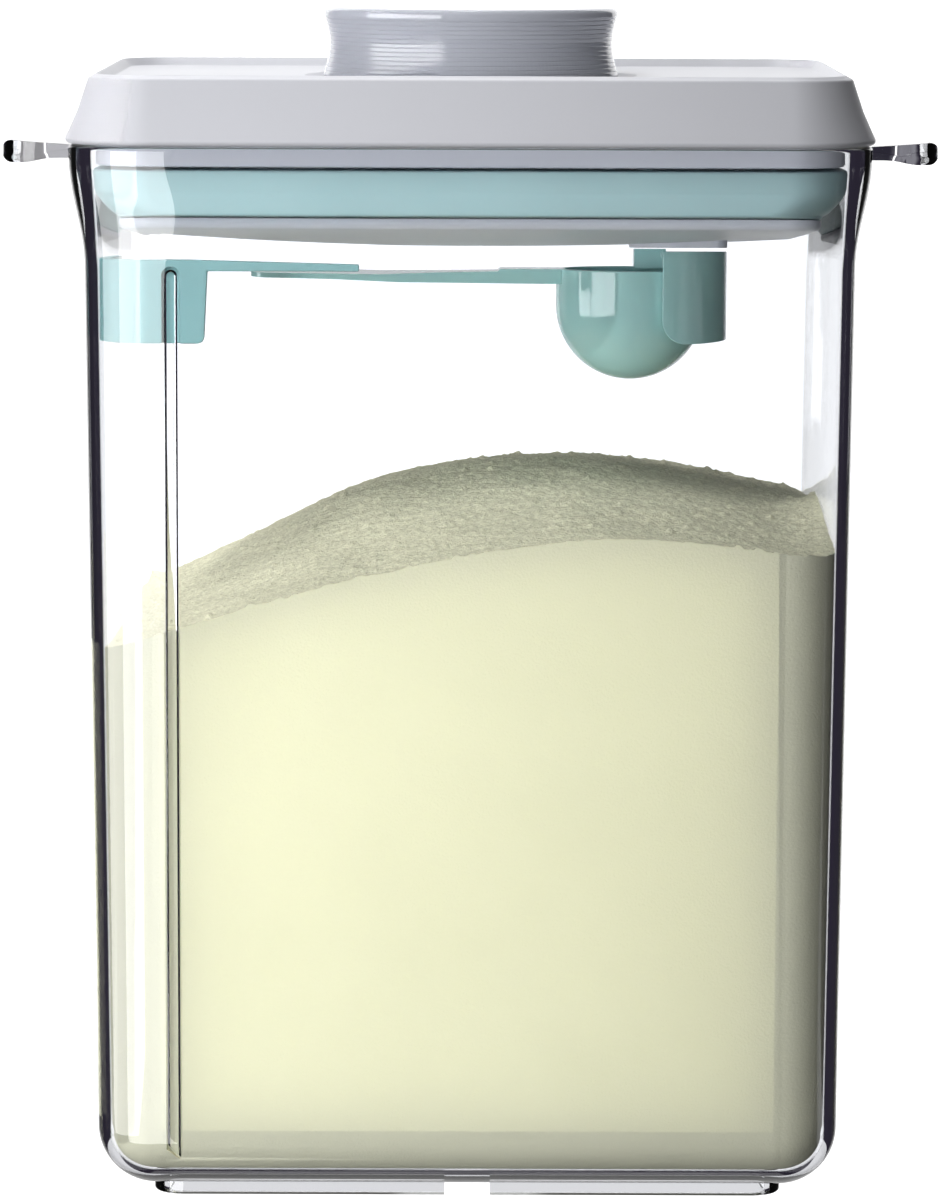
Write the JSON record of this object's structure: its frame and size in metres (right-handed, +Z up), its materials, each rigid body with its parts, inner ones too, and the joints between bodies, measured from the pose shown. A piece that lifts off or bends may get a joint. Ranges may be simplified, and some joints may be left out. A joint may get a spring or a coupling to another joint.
{
  "type": "milk powder container",
  "caption": "Clear rectangular canister part filled with milk powder, with a push-button lid, a mint seal, a leveller strip and a scoop clipped under the lid.",
  "frame": {"origin": "bottom centre of the box round the part, on the surface that the foot rails stand on", "axes": "+Z up, +X to the right seen from the front, along the side with the two handles, front faces -Y"},
  "size_m": [0.185, 0.114, 0.2334],
  "materials": {
    "clear_plastic": "clear, polished, injection moulded",
    "milk_powder": "fine dry powder, matte, pale cream",
    "grey_plastic": "satin moulded, light cool grey",
    "button_plastic": "satin moulded with fine turned rings, cool grey",
    "mint_silicone": "smooth moulded silicone rubber, mint",
    "mint_plastic": "semi-gloss moulded, mint"
  },
  "bodies": {
    "canister": {"canister": "clear_plastic", "milk_powder": "milk_powder", "lid_cover": "grey_plastic", "lid_plug": "grey_plastic", "seal_ring": "mint_silicone", "scoop": "mint_plastic", "scoop_clip": "mint_plastic", "leveller": "mint_plastic"},
    "button": {"button": "button_plastic"}
  },
  "joints": [
    {"name": "button_press", "type": "slide", "parent": "canister", "child": "button", "axis": [0, 0, 1], "range_m": [-0.009, 0], "stiffness_N_per_m": 300, "springref_m": 0.012}
  ]
}
